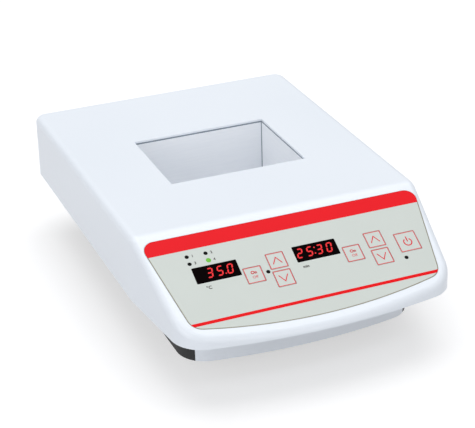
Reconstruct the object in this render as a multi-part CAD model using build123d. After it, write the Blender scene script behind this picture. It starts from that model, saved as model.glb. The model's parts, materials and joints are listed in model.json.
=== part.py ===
from build123d import *
import os
from math import cos, radians, sin, tan

# Dry bath incubator with one heating well, in millimetres, +Z up.
# The origin is on the table, under the middle of the casing; the controls face -Y.

# Casing
CASE_LENGTH = 308.0
CASE_WIDTH = 203.0
CASE_HEIGHT = 89.0
LIP_HEIGHT = 3.43
CASE_WALL = 3.0
SIDE_DRAFT = 0.5
TOP_RADIUS = 5.0
REAR_CORNER_RADIUS = 9.0
FRONT_CORNER_RADIUS = 22.0
SHOULDER_RADIUS = 60.0
FRONT_HALF_WIDTH = 93.5
FRONT_BOW = 10.9
SHOULDER_BEHIND_CREASE = 4.0

# Sloping control panel, measured down the slope from the crease
PANEL_RUN = 81.0
PANEL_ANGLE = 28.0
CREASE_RADIUS = 14.0
PANEL_TOP = 5.4
PANEL_TOP_HALF = 97.2
PANEL_LOW_CORNER = 74.4
PANEL_LOW_HALF = 85.4
PANEL_TIP = 84.2
PANEL_TOP_RADIUS = 7.5
PANEL_LOW_RADIUS = 10.0
OVERLAY_THICKNESS = 0.6
CARRIER_FLANGE = 1.2
CARRIER_DEPTH = 4.6
SEAT_LEDGE = 5.0

# Keys, displays and indicators on the panel
KEY_SIZE = 12.0
POWER_KEY_SIZE = 14.8
KEY_CORNER = 0.6
KEY_TRAVEL = 0.5
KEY_FLANGE = 0.6
KEY_FLANGE_THICKNESS = 0.8
KEY_STEM_RADIUS = 1.5
STEM_ENTRY = 1.0
KEY_ROW = 45.3
ARROW_SPACING = 13.8
TEMP_ARROWS_X = -15.5
TIME_ARROWS_X = 53.6
ON_OFF_ASIDE = 17.9
POWER_KEY_X = 74.7
DISPLAY_ROW = 37.3
TEMP_DISPLAY_X = -56.0
TIME_DISPLAY_X = 12.4
DISPLAY_WIDTH = 30.0
DISPLAY_HEIGHT = 12.2
LENS_THICKNESS = 1.8
LENS_CORNER = 0.6
MODULE_HEIGHT = 14.0
LED_RADIUS = 1.3
SET_LED_RADIUS = 1.6
LED_LEFT_X = -70.7
LED_RIGHT_X = -58.0
LED_UPPER_ROW = 22.0
LED_LOWER_ROW = 27.6
KEY_LED_X = -23.9
POWER_LED_X = 68.7
POWER_LED_ROW = 57.0

# Control board under the panel
BOARD_THICKNESS = 1.6
BOARD_DEPTH = 10.6
CONTROL_BOARD_WIDTH = 164.0
CONTROL_BOARD_TOP = 17.0
CONTROL_BOARD_BOTTOM = 63.5
BOARD_CORNER = 2.0
BOARD_MARGIN = 0.5
SWITCH_SIZE = 6.0
SWITCH_HEIGHT = 3.8
CHIPS = [(96.0, 14.0, 14.0), (36.0, 18.0, 8.0), (18.0, 10.0, 7.0)]
CHIP_HEIGHT = 2.0
STANDOFF_RADIUS = 3.0
STANDOFF_EDGE = 4.5

# Heating well and what surrounds it
WELL_LENGTH = 99.0
WELL_WIDTH = 78.0
OPENING_LIP = 1.4
LINER_WALL = 3.0
LINER_FLOOR = 4.0
HEATER_THICKNESS = 3.0
MAT_MARGIN = 3.0
CLAMP_THICKNESS = 1.5
SLAB_THICKNESS = 8.3
JACKET_THICKNESS = 8.0
TRAY_SHEET = 1.2
TRAY_HEIGHT = 44.0
TRAY_EAR = 12.0
TRAY_RISE = 4.0
REAR_BAY = 52.55
CUTOUT_X = 20.0
CUTOUT_RADIUS = 8.0
SENSOR_X = -20.0
SENSOR_RADIUS = 1.5
SENSOR_LENGTH = 30.0
LEAD_NOTCH_WIDTH = 14.0
LEAD_NOTCH_HEIGHT = 6.0

# Base tub, apron and feet
TUB_SIDE_GAP = 4.15
TUB_FRONT_SETBACK = 34.0
TUB_REAR_SETBACK = 16.0
TUB_FRONT_BOW = 9.2
TUB_FRONT_RADIUS = 20.0
TUB_REAR_RADIUS = 12.0
TUB_WALL = 3.0
TUB_FLOOR = 2.5
TUB_FLANGE = 2.5
FLANGE_RISE = 1.0
APRON_THICKNESS = 2.5
APRON_INSET = 7.0
FOOT_HEIGHT = 13.0
FOOT_RADIUS = 9.5
FOOT_TAPER = 1.0
FOOT_EDGE = 1.5
FOOT_INSET = 24.0
FOOT_BOSS_RISE = 6.0
FRONT_FOOT_INSET = 42.0
REAR_FOOT_INSET = 24.0
VENT_WIDTH = 3.0
VENT_PITCH = 7.0
REAR_VENT_MARGIN = 5.0
FLOOR_VENT_LENGTH = 24.0
VENT_COUNT = 9

# Screws; a head's spread, rise and slot are shares of its shank's radius
CASE_SCREW_RADIUS = 2.0
CASE_SCREW_INSET = 9.0
CASE_SCREW_GRIP = 9.0
SMALL_SCREW_RADIUS = 1.5
SMALL_SCREW_GRIP = 5.0
BOSS_WALL = 2.2
HEAD_SPREAD = 1.9
HEAD_RISE = 1.2
HEAD_SLOT = 0.5

# Power board and rear connectors
POWER_BOARD_LENGTH = 112.0
POWER_BOARD_WIDTH = 42.0
POWER_BOARD_RISE = 7.0
TRANSFORMER_ASIDE = -26.0
CORE_LENGTH = 38.0
CORE_DEPTH = 16.0
CORE_HEIGHT = 30.0
WINDOW_LENGTH = 6.4
WINDOW_HEIGHT = 18.0
WINDOW_ASIDE = 8.8
COIL_DEPTH = 32.0
HEATSINK_ASIDE = 12.0
TERMINALS_ASIDE = 36.0
TERMINALS_LENGTH = 30.0
TERMINALS_WIDTH = 12.0
TERMINALS_HEIGHT = 10.0
TERMINAL_PITCH = 5.6
RIBBON_ASIDE = 0.65
RIBBON_WIDTH = 7.0
RIBBON_THICKNESS = 1.0
RIBBON_RISE = 9.9
HEADER_DEPTH = 5.0
HEADER_MARGIN = 2.0
LEAD_RADIUS = 1.2
LEAD_SPACING = 4.0
HEATSINK_FINS = 6
HEATSINK_LENGTH = 30.0
HEATSINK_HEIGHT = 22.0
HEATSINK_BASE = 3.0
FIN_THICKNESS = 1.6
FIN_REACH = 12.0
TRIAC_WIDTH = 10.0
TRIAC_HEIGHT = 15.0
TRIAC_DEPTH = 4.5
LEG_LENGTH = 4.0
LEG_SPAN = 7.0
LEG_THICKNESS = 1.0
REAR_ROW_DROP = 23.0
INLET_INSET = 49.5
INLET_FLANGE_LENGTH = 50.0
INLET_FLANGE_HEIGHT = 23.0
INLET_FLANGE_THICKNESS = 2.4
INLET_FLANGE_CORNER = 3.0
INLET_BODY_LENGTH = 28.0
INLET_BODY_HEIGHT = 20.0
INLET_BODY_DEPTH = 22.0
INLET_BODY_CORNER = 2.0
INLET_CAVITY_LENGTH = 24.0
INLET_CAVITY_HEIGHT = 16.0
INLET_CAVITY_DEPTH = 16.0
INLET_CAVITY_CHAMFER = 4.0
INLET_HOLE_SPACING = 40.0
PIN_ASIDE = 7.0
PIN_DROP = 1.0
PIN_RISE = 3.0
PIN_THICKNESS = 2.0
PIN_WIDTH = 4.0
PIN_RECESS = 2.0
TAB_LENGTH = 7.0
PROBE_INSET = 43.5
PROBE_BORE_RADIUS = 3.2
PROBE_BODY_RADIUS = 5.0
PROBE_BODY_DEPTH = 24.0
PROBE_SHOULDER = 2.0
PROBE_NUT_ACROSS = 14.0
PROBE_NUT_THICKNESS = 2.2
REAR_POCKET_DEPTH = 4.5

# Clearances
SEAT_GAP = 0.2
KEY_GAP = 0.25
PLAY = 0.3
SCREW_PLAY = 0.05
SAME = 0.01

# Worked out from the sizes above
CREASE_Y = PANEL_RUN - CASE_LENGTH / 2
SLOPE = radians(PANEL_ANGLE)
RIM_HEIGHT = CASE_HEIGHT - PANEL_RUN * tan(SLOPE) - LIP_HEIGHT
PANEL = Plane(
    origin=(0, CREASE_Y, CASE_HEIGHT),
    x_dir=(1, 0, 0),
    z_dir=(0, -sin(SLOPE), cos(SLOPE)),
)
FLANGE_Z = RIM_HEIGHT + FLANGE_RISE
TUB_FLOOR_TOP = FOOT_HEIGHT + TUB_FLOOR
TRAY_SEAT = TUB_FLOOR_TOP + TRAY_RISE
CLAMP_BOTTOM = TRAY_SEAT + TRAY_SHEET + SLAB_THICKNESS
HEATER_BOTTOM = CLAMP_BOTTOM + CLAMP_THICKNESS
LINER_BOTTOM = HEATER_BOTTOM + HEATER_THICKNESS
WELL_FLOOR_Z = LINER_BOTTOM + LINER_FLOOR
POWER_BOARD_Z = TUB_FLOOR_TOP + POWER_BOARD_RISE
POWER_TOP = POWER_BOARD_Z + BOARD_THICKNESS
TUB_FRONT = TUB_FRONT_SETBACK - CASE_LENGTH / 2
TUB_REAR = CASE_LENGTH / 2 - TUB_REAR_SETBACK
WELL_SURROUND = LINER_WALL + JACKET_THICKNESS + PLAY / 2 + TRAY_SHEET
TRAY_BACK = TUB_REAR - TUB_WALL - REAR_BAY
WELL_Y = TRAY_BACK - WELL_SURROUND - WELL_WIDTH / 2
TRAY_SIDE = WELL_LENGTH / 2 + WELL_SURROUND
TUB_HALF_WIDTH = TRAY_SIDE + TRAY_EAR + TUB_SIDE_GAP + TUB_WALL
RIBBON_X = TRAY_SIDE + RIBBON_ASIDE + RIBBON_WIDTH / 2
POWER_BOARD_X = RIBBON_X + RIBBON_WIDTH / 2 + BOARD_MARGIN - POWER_BOARD_LENGTH / 2
POWER_BOARD_Y = (TRAY_BACK + TUB_REAR - TUB_WALL) / 2
REAR_ROW_Z = CASE_HEIGHT - REAR_ROW_DROP
INLET_X = CASE_WIDTH / 2 - INLET_INSET
PROBE_X = PROBE_INSET - CASE_WIDTH / 2
FOOT_PLACES = [
    (side * (TUB_HALF_WIDTH - FOOT_INSET), y)
    for side in (-1, 1)
    for y in (TUB_FRONT + FRONT_FOOT_INSET, TUB_REAR - REAR_FOOT_INSET)
]
SHOULDER_Y = CREASE_Y + SHOULDER_BEHIND_CREASE
FRONT_SCREW_Y = TUB_FRONT + TUB_FRONT_BOW
REAR_SCREW_Y = (TUB_REAR + CASE_LENGTH / 2 - CASE_WALL) / 2
WAIST = (FRONT_HALF_WIDTH - CASE_WIDTH / 2) / (SHOULDER_Y - FRONT_BOW + CASE_LENGTH / 2)
FRONT_SCREW_X = CASE_WIDTH / 2 + WAIST * (SHOULDER_Y - FRONT_SCREW_Y) - CASE_SCREW_INSET
CASE_SCREW_PLACES = [
    (side * x, y)
    for side in (-1, 1)
    for x, y in (
        (FRONT_SCREW_X, FRONT_SCREW_Y),
        (CASE_WIDTH / 2 - CASE_SCREW_INSET, REAR_SCREW_Y),
    )
]
CUT = 400.0
UPWARD = (Align.CENTER, Align.CENTER, Align.MIN)
DOWNWARD = (Align.CENTER, Align.CENTER, Align.MAX)

KEYS = {
    "temp_on_off_key": (TEMP_ARROWS_X - ON_OFF_ASIDE, KEY_ROW, KEY_SIZE),
    "temp_up_key": (TEMP_ARROWS_X, KEY_ROW - ARROW_SPACING / 2, KEY_SIZE),
    "temp_down_key": (TEMP_ARROWS_X, KEY_ROW + ARROW_SPACING / 2, KEY_SIZE),
    "time_on_off_key": (TIME_ARROWS_X - ON_OFF_ASIDE, KEY_ROW, KEY_SIZE),
    "time_up_key": (TIME_ARROWS_X, KEY_ROW - ARROW_SPACING / 2, KEY_SIZE),
    "time_down_key": (TIME_ARROWS_X, KEY_ROW + ARROW_SPACING / 2, KEY_SIZE),
    "power_key": (POWER_KEY_X, KEY_ROW, POWER_KEY_SIZE),
}
DISPLAYS = {
    "temp_display": (TEMP_DISPLAY_X, DISPLAY_ROW),
    "time_display": (TIME_DISPLAY_X, DISPLAY_ROW),
}
DARK_LEDS = [
    (LED_LEFT_X, LED_UPPER_ROW),
    (LED_RIGHT_X, LED_UPPER_ROW),
    (LED_LEFT_X, LED_LOWER_ROW),
    (KEY_LED_X, KEY_ROW),
    (POWER_LED_X, POWER_LED_ROW),
]
SET_LED = (LED_RIGHT_X, LED_LOWER_ROW)


def slab(face, low, high):
    """A plate of the face's outline between two heights."""
    return Pos(0, 0, low) * extrude(face, high - low)


def on_panel(shape, across=0.0, down=0.0):
    """A shape drawn about the origin, placed on the slope with its +Z outwards."""
    return PANEL * Pos(across, -down, 0) * shape


def peg(radius, low, high):
    """A round bar on the Z axis between two heights."""
    return Pos(0, 0, low) * Cylinder(radius, high - low, align=UPWARD)


def rounded_at(face, height, radius):
    """Rounds the corners of a flat outline that lie at one Y."""
    corners = [v for v in face.vertices() if abs(v.Y - height) < SAME]
    return fillet(corners, radius)


def bowed_outline(side, tip):
    """A symmetric outline: its right side from front to rear, and a nose bowed to the tip."""
    mirrored = [(-x, y) for x, y in reversed(side)]
    nose = ThreePointArc(mirrored[-1], (0, tip), side[0])
    return make_face(Polyline(*side, *mirrored) + nose)


def case_outline(inset):
    """The casing's plan, moved in from its outside by the inset."""
    rear = CASE_LENGTH / 2
    corner = (FRONT_HALF_WIDTH, FRONT_BOW - rear)
    side = [corner, (CASE_WIDTH / 2, SHOULDER_Y), (CASE_WIDTH / 2, rear)]
    outline = bowed_outline(side, -rear)
    outline = rounded_at(outline, rear, REAR_CORNER_RADIUS)
    outline = rounded_at(outline, SHOULDER_Y, SHOULDER_RADIUS)
    outline = rounded_at(outline, FRONT_BOW - rear, FRONT_CORNER_RADIUS)
    if inset > 0:
        outline = offset(outline, -inset)
    return outline


def casing_form(inset):
    """The casing's solid form, every wall moved in by the inset."""
    tall = CASE_HEIGHT - inset - RIM_HEIGHT
    block = extrude(case_outline(inset), tall, taper=SIDE_DRAFT)
    above_slope = PANEL * Pos(0, 0, -inset) * Box(CUT, CUT, CUT, align=UPWARD)
    return Pos(0, 0, RIM_HEIGHT) * block - above_slope


def rounded_casing():
    """The casing's outside, with its crease and its top edges rounded."""
    form = casing_form(0)
    crease = form.edges().filter_by(Axis.X).sort_by(Axis.Z)[-2:].sort_by(Axis.Y)[0]
    form = fillet(crease, CREASE_RADIUS)
    top = form.faces().sort_by(Axis.Z)[-1]
    slope = form.faces().sort_by(SortBy.AREA).filter_by(
        lambda face: (face.normal_at() - PANEL.z_dir).length < SAME
    )[-1]
    bend = [f for f in form.faces() if f.geom_type == GeomType.CYLINDER and shares(f, top)]
    bend = [f for f in bend if shares(f, slope)][0]
    skin = top.edges() + slope.edges() + bend.edges()
    outer = [edge for edge in skin if sum(edge.is_same(other) for other in skin) == 1]
    return fillet(outer, TOP_RADIUS)


def shares(face, other):
    """True where two faces have an edge in common."""
    return any(a.is_same(b) for a in face.edges() for b in other.edges())


def panel_outline(inset):
    """The control panel's outline on the slope, moved in by the inset."""
    side = [(PANEL_LOW_HALF, -PANEL_LOW_CORNER), (PANEL_TOP_HALF, -PANEL_TOP)]
    outline = bowed_outline(side, -PANEL_TIP)
    outline = rounded_at(outline, -PANEL_TOP, PANEL_TOP_RADIUS)
    outline = rounded_at(outline, -PANEL_LOW_CORNER, PANEL_LOW_RADIUS)
    if inset > 0:
        outline = offset(outline, -inset)
    return outline


def on_rear(shape, across):
    """A shape drawn with +Z out of the rear, placed on a rear pocket's floor."""
    seat = CASE_LENGTH / 2 - REAR_POCKET_DEPTH
    return Plane(origin=(across, seat, REAR_ROW_Z), x_dir=(-1, 0, 0), z_dir=(0, 1, 0)) * shape


def at_inlet(shape):
    return on_rear(shape, INLET_X)


def at_probe(shape):
    return on_rear(shape, PROBE_X)


def rounded_face(length, width, corner, grow=0.0):
    """A rectangle with round corners, grown evenly all round."""
    return RectangleRounded(length + 2 * grow, width + 2 * grow, corner + grow)


def inlet_flange_face(grow=0.0):
    return rounded_face(INLET_FLANGE_LENGTH, INLET_FLANGE_HEIGHT, INLET_FLANGE_CORNER, grow)


def inlet_body_face(grow=0.0):
    return rounded_face(INLET_BODY_LENGTH, INLET_BODY_HEIGHT, INLET_BODY_CORNER, grow)


def probe_pocket_radius():
    """Room for the nut's corners."""
    return PROBE_NUT_ACROSS / 2 / cos(radians(30)) + PLAY


def inlet_holes():
    return [Pos(side * INLET_HOLE_SPACING / 2, 0, 0) for side in (-1, 1)]


def upper_shell():
    """The painted upper casing, open below, with the well's opening and the panel's seat."""
    outside = rounded_casing()
    shell = outside - casing_form(CASE_WALL)

    inlet_pad = inlet_flange_face(CASE_WALL)
    shell += at_inlet(slab(inlet_pad, -CASE_WALL, REAR_POCKET_DEPTH)) & outside
    probe_pad = peg(probe_pocket_radius() + CASE_WALL, -CASE_WALL, REAR_POCKET_DEPTH)
    shell += at_probe(probe_pad) & outside

    boss_radius = CASE_SCREW_RADIUS + BOSS_WALL
    foot = FLANGE_Z + TUB_FLANGE
    for x, y in CASE_SCREW_PLACES:
        web = Box(2 * CASE_SCREW_INSET, BOSS_WALL, CASE_HEIGHT - foot, align=UPWARD)
        boss = peg(boss_radius, foot, CASE_HEIGHT)
        boss += Pos(CASE_SCREW_INSET if x > 0 else -CASE_SCREW_INSET, 0, foot) * web
        shell += (Pos(x, y, 0) * boss) & outside
        hole = peg(CASE_SCREW_RADIUS + SCREW_PLAY, foot, foot + CASE_SCREW_GRIP)
        shell -= Pos(x, y, 0) * hole

    opening = Box(WELL_LENGTH, WELL_WIDTH, CUT)
    shell -= Pos(0, WELL_Y, CASE_HEIGHT) * opening
    step = Box(
        WELL_LENGTH + 2 * (LINER_WALL + PLAY),
        WELL_WIDTH + 2 * (LINER_WALL + PLAY),
        CUT,
        align=DOWNWARD,
    )
    shell -= Pos(0, WELL_Y, CASE_HEIGHT - OPENING_LIP) * step

    seat_depth = OVERLAY_THICKNESS + CARRIER_FLANGE
    shell -= on_panel(slab(panel_outline(0), -seat_depth, CASE_WALL))
    shell -= on_panel(slab(panel_outline(SEAT_LEDGE), -2 * CARRIER_DEPTH, CASE_WALL))

    shell -= at_inlet(slab(inlet_flange_face(SEAT_GAP), 0, 2 * REAR_POCKET_DEPTH))
    shell -= at_inlet(slab(inlet_body_face(SEAT_GAP), -INLET_BODY_DEPTH, 0))
    for place in inlet_holes():
        shell -= at_inlet(place * peg(SMALL_SCREW_RADIUS + SCREW_PLAY, -INLET_BODY_DEPTH, 0))
    shell -= at_probe(peg(probe_pocket_radius(), 0, 2 * REAR_POCKET_DEPTH))
    shell -= at_probe(peg(PROBE_BODY_RADIUS + SCREW_PLAY, -PROBE_BODY_DEPTH, 0))
    return shell


def tub_outline(inset):
    """The base tub's plan, moved in from its outside by the inset."""
    corner = TUB_FRONT + TUB_FRONT_BOW
    outline = bowed_outline([(TUB_HALF_WIDTH, corner), (TUB_HALF_WIDTH, TUB_REAR)], TUB_FRONT)
    outline = rounded_at(outline, TUB_REAR, TUB_REAR_RADIUS)
    outline = rounded_at(outline, corner, TUB_FRONT_RADIUS)
    if inset > 0:
        outline = offset(outline, -inset)
    return outline


def apron_form(clearance):
    """The front apron: the tub's bowed nose, one thickness deep, grown by the clearance."""
    nose = slab(tub_outline(0), FOOT_HEIGHT, FLANGE_Z - SEAT_GAP + clearance)
    behind = Pos(0, APRON_THICKNESS + clearance, 0) * slab(tub_outline(0), 0, CUT)
    width = 2 * (TUB_HALF_WIDTH - APRON_INSET + clearance)
    window = Pos(0, TUB_FRONT, 0) * Box(width, 2 * TUB_FRONT_RADIUS, CUT)
    return (nose - behind) & window


def corners_of(middle, across, along):
    """Four places about a middle."""
    x, y = middle
    return [(x + sx * across, y + sy * along) for sx in (-1, 1) for sy in (-1, 1)]


def tray_ear_places():
    return corners_of((0, WELL_Y), TRAY_SIDE + TRAY_EAR / 2, WELL_WIDTH / 3)


def power_board_posts():
    across = POWER_BOARD_LENGTH / 2 - STANDOFF_EDGE
    along = POWER_BOARD_WIDTH / 2 - STANDOFF_EDGE
    return corners_of((POWER_BOARD_X, POWER_BOARD_Y), across, along)


def base_tub():
    """The black lower casing: a tub with a flange that closes the shell's rim."""
    flange = casing_form(CASE_WALL + PLAY)
    flange &= Pos(0, 0, FLANGE_Z) * Box(CUT, CUT, TUB_FLANGE, align=UPWARD)
    tub = flange + slab(tub_outline(0), FOOT_HEIGHT, FLANGE_Z + TUB_FLANGE / 2)
    cavity = slab(tub_outline(TUB_WALL), TUB_FLOOR_TOP, CUT)
    tub -= cavity & Pos(0, APRON_THICKNESS + PLAY, 0) * cavity
    tub -= apron_form(SEAT_GAP / 2)

    foot_top = TUB_FLOOR_TOP + FOOT_BOSS_RISE
    bosses = [(place, CASE_SCREW_RADIUS, foot_top) for place in FOOT_PLACES]
    bosses += [(place, SMALL_SCREW_RADIUS, TRAY_SEAT) for place in tray_ear_places()]
    post_top = TUB_FLOOR_TOP + POWER_BOARD_RISE
    bosses += [(place, SMALL_SCREW_RADIUS, post_top) for place in power_board_posts()]
    for (x, y), screw, top in bosses:
        tub += Pos(x, y, 0) * peg(screw + BOSS_WALL, FOOT_HEIGHT, top)
    for (x, y), screw, top in bosses:
        tub -= Pos(x, y, 0) * peg(screw + SCREW_PLAY, FOOT_HEIGHT - TUB_FLOOR, top)
    for x, y in CASE_SCREW_PLACES:
        tub -= Pos(x, y, 0) * peg(CASE_SCREW_RADIUS + SCREW_PLAY, FLANGE_Z - PLAY, CUT / 2)

    first = -(VENT_COUNT - 1) / 2 * VENT_PITCH
    vent_z = (FLANGE_Z + TUB_FLOOR_TOP) / 2
    vent_height = FLANGE_Z - TUB_FLOOR_TOP - 2 * REAR_VENT_MARGIN
    for i in range(VENT_COUNT):
        x = first + i * VENT_PITCH
        tub -= Pos(x, TUB_REAR, vent_z) * Box(VENT_WIDTH, 3 * TUB_WALL, vent_height)
        tub -= Pos(x, CREASE_Y + FLOOR_VENT_LENGTH, FOOT_HEIGHT) * Box(
            VENT_WIDTH, FLOOR_VENT_LENGTH, 3 * TUB_FLOOR
        )
    return tub


def rubber_foot():
    """A turned rubber foot with a counterbore for its screw, standing on the table."""
    counterbore = HEAD_SPREAD * CASE_SCREW_RADIUS + 2 * PLAY
    half = make_face(
        Polyline(
            (CASE_SCREW_RADIUS + SCREW_PLAY, FOOT_HEIGHT),
            (FOOT_RADIUS, FOOT_HEIGHT),
            (FOOT_RADIUS - FOOT_TAPER, FOOT_EDGE),
            (FOOT_RADIUS - FOOT_TAPER - FOOT_EDGE, 0),
            (counterbore, 0),
            (counterbore, FOOT_HEIGHT / 2),
            (CASE_SCREW_RADIUS + SCREW_PLAY, FOOT_HEIGHT / 2),
            (CASE_SCREW_RADIUS + SCREW_PLAY, FOOT_HEIGHT),
        )
    )
    return revolve(Plane.XZ * half, Axis.Z)


def pan_screw(radius, seat, tip):
    """A slotted pan-head screw on the Z axis: its head lies outside the seat, away from the tip."""
    away = 1 if seat > tip else -1
    rise = HEAD_RISE * radius
    head = Cylinder(HEAD_SPREAD * radius, rise, align=UPWARD)
    head = fillet(head.edges().sort_by(Axis.Z)[-1], rise / 2)
    head -= Pos(0, 0, rise) * Box(HEAD_SLOT * radius, 3 * HEAD_RISE * radius, rise)
    shank = Cylinder(radius, abs(seat - tip), align=DOWNWARD)
    screw = head + shank
    if away < 0:
        screw = Rot(180, 0, 0) * screw
    return Pos(0, 0, seat) * screw


def group(solids):
    """Separate solids kept together as one node."""
    return Compound(children=[solid for solid in solids])


def panel_carrier():
    """The moulded carrier under the overlay: it guides the keys and holds the board."""
    seat_depth = OVERLAY_THICKNESS + CARRIER_FLANGE
    carrier = slab(panel_outline(SEAT_GAP), -seat_depth, -OVERLAY_THICKNESS)
    carrier += slab(panel_outline(SEAT_LEDGE + PLAY), -CARRIER_DEPTH, -OVERLAY_THICKNESS)
    for x, y in board_posts():
        carrier += Pos(x, y, 0) * peg(STANDOFF_RADIUS, -BOARD_DEPTH, -CARRIER_DEPTH)
    for x, y in board_posts():
        carrier -= Pos(x, y, 0) * peg(
            SMALL_SCREW_RADIUS + SCREW_PLAY, -BOARD_DEPTH, -BOARD_DEPTH + SMALL_SCREW_GRIP
        )
    for across, down, size in KEYS.values():
        carrier -= Pos(across, -down, 0) * slab(key_face(size, KEY_GAP), -CUT, 0)
    for across, down in DISPLAYS.values():
        module = Rectangle(DISPLAY_WIDTH + 4 * SEAT_GAP, MODULE_HEIGHT + 2 * SEAT_GAP)
        carrier -= Pos(across, -down, 0) * slab(lens_face(SEAT_GAP), -CUT, 0)
        carrier -= Pos(across, -down, 0) * slab(module, -CUT, -lens_bottom())
    for place in DARK_LEDS + [SET_LED]:
        across, down = place
        carrier -= Pos(across, -down, 0) * peg(led_radius(place) + SEAT_GAP, -CUT, 0)
    return on_panel(carrier)


def led_radius(place):
    return SET_LED_RADIUS if place == SET_LED else LED_RADIUS


def lens_face(grow=0.0):
    return rounded_face(DISPLAY_WIDTH, DISPLAY_HEIGHT, LENS_CORNER, grow)


def lens_bottom():
    return LENS_THICKNESS + SEAT_GAP / 2


def board_posts():
    """The control board's fixings, as places on the slope."""
    across = CONTROL_BOARD_WIDTH / 2 - STANDOFF_EDGE
    upper = CONTROL_BOARD_TOP + STANDOFF_EDGE
    lower = CONTROL_BOARD_BOTTOM - STANDOFF_EDGE
    return [(x, -down) for x in (-across, 0, across) for down in (upper, lower)]


def key_face(size, grow=0.0):
    return rounded_face(size, size, KEY_CORNER, grow)


def panel_overlay():
    """The printed overlay: a thin sheet cut out round the keys, lenses and indicators."""
    sheet = slab(panel_outline(SEAT_GAP), -OVERLAY_THICKNESS, 0)
    for across, down, size in KEYS.values():
        sheet -= Pos(across, -down, 0) * slab(key_face(size, KEY_GAP), -CASE_WALL, CASE_WALL)
    for across, down in DISPLAYS.values():
        sheet -= Pos(across, -down, 0) * slab(lens_face(SEAT_GAP / 2), -CASE_WALL, CASE_WALL)
    for place in DARK_LEDS + [SET_LED]:
        across, down = place
        hole = peg(led_radius(place) + SEAT_GAP / 2, -CASE_WALL, CASE_WALL)
        sheet -= Pos(across, -down, 0) * hole
    return on_panel(sheet)


def display_lens(across, down):
    """A tinted lens, its face just under the overlay's."""
    return on_panel(slab(lens_face(), -LENS_THICKNESS, -SEAT_GAP / 4), across, down)


def display_module(across, down):
    """A four-digit numeral module standing on the control board."""
    height = BOARD_DEPTH - lens_bottom() - SEAT_GAP
    body = Box(DISPLAY_WIDTH + SEAT_GAP, MODULE_HEIGHT, height, align=UPWARD)
    return on_panel(Pos(0, 0, -BOARD_DEPTH) * body, across, down)


def indicator(across, down):
    """A light pipe from an indicator lamp on the board up to the overlay's face."""
    pipe = peg(led_radius((across, down)), -CARRIER_DEPTH, -SEAT_GAP / 4)
    pipe += peg(LED_RADIUS - SEAT_GAP, -BOARD_DEPTH, -CARRIER_DEPTH)
    return on_panel(pipe, across, down)


def key(across, down, size):
    """A key: a cap flush with the overlay, a stop flange under the carrier and a stem."""
    flange_top = -CARRIER_DEPTH - PLAY
    flange_bottom = flange_top - KEY_FLANGE_THICKNESS
    stem_tip = -BOARD_DEPTH + SWITCH_HEIGHT - STEM_ENTRY
    body = slab(key_face(size), flange_bottom, 0)
    body += slab(key_face(size, KEY_FLANGE), flange_bottom, flange_top)
    body += peg(KEY_STEM_RADIUS, stem_tip, flange_bottom)
    return on_panel(body, across, down)


def key_switches():
    """The seven tact switches on the board, each with a well for its key's stem."""
    switches = []
    for across, down, _ in KEYS.values():
        body = Pos(0, 0, -BOARD_DEPTH) * Box(SWITCH_SIZE, SWITCH_SIZE, SWITCH_HEIGHT, align=UPWARD)
        top = SWITCH_HEIGHT - BOARD_DEPTH
        bottom = top - STEM_ENTRY - KEY_TRAVEL - PLAY
        body -= peg(KEY_STEM_RADIUS + KEY_GAP, bottom, top)
        switches.append(on_panel(body, across, down))
    return group(switches)


def control_board():
    """The board behind the panel, parallel to the slope."""
    length = CONTROL_BOARD_BOTTOM - CONTROL_BOARD_TOP
    middle = (CONTROL_BOARD_BOTTOM + CONTROL_BOARD_TOP) / 2
    face = Pos(0, -middle) * RectangleRounded(CONTROL_BOARD_WIDTH, length, BOARD_CORNER)
    board = slab(face, -BOARD_DEPTH - BOARD_THICKNESS, -BOARD_DEPTH)
    for x, y in board_posts():
        board -= Pos(x, y, 0) * peg(SMALL_SCREW_RADIUS + SCREW_PLAY, -CUT / 2, 0)
    return on_panel(board)


def control_board_screws():
    seat = -BOARD_DEPTH - BOARD_THICKNESS
    tip = -BOARD_DEPTH + SMALL_SCREW_GRIP - PLAY
    return group(
        on_panel(Pos(x, y, 0) * pan_screw(SMALL_SCREW_RADIUS, seat, tip)) for x, y in board_posts()
    )


def control_chips():
    """The controller and its driver chips, on the board's underside."""
    under = -BOARD_DEPTH - BOARD_THICKNESS
    chips = []
    for before_header, length, width in CHIPS:
        chip = Box(length, width, CHIP_HEIGHT, align=DOWNWARD)
        chips.append(on_panel(Pos(RIBBON_X - before_header, -KEY_ROW, under) * chip))
    return group(chips)


def ribbon_header():
    """The connector that joins the two boards' ribbon to the control board."""
    under = -BOARD_DEPTH - BOARD_THICKNESS
    header = Box(RIBBON_WIDTH + 2 * HEADER_MARGIN, HEADER_DEPTH, HEADER_DEPTH, align=DOWNWARD)
    return on_panel(Pos(RIBBON_X, -KEY_ROW, under) * header)


def well_liner():
    """The cast aluminium heating well: an open box under the casing's opening."""
    length = WELL_LENGTH + 2 * LINER_WALL
    width = WELL_WIDTH + 2 * LINER_WALL
    top = CASE_HEIGHT - OPENING_LIP - SEAT_GAP
    body = Pos(0, 0, LINER_BOTTOM) * Box(length, width, top - LINER_BOTTOM, align=UPWARD)
    body -= Pos(0, 0, WELL_FLOOR_Z) * Box(WELL_LENGTH, WELL_WIDTH, CUT, align=UPWARD)
    return Pos(0, WELL_Y, 0) * body


def under_well(low, high):
    """A plate with round corners, a little smaller than the well's floor."""
    length = WELL_LENGTH - 2 * MAT_MARGIN
    width = WELL_WIDTH - 2 * MAT_MARGIN
    return Pos(0, WELL_Y, 0) * slab(RectangleRounded(length, width, MAT_MARGIN), low, high)


def heater_mat():
    """The silicone heater pressed under the well's floor."""
    return under_well(HEATER_BOTTOM, LINER_BOTTOM)


def clamp_plate():
    """The plate that spreads the heater against the well's floor."""
    return under_well(CLAMP_BOTTOM, HEATER_BOTTOM)


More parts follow.
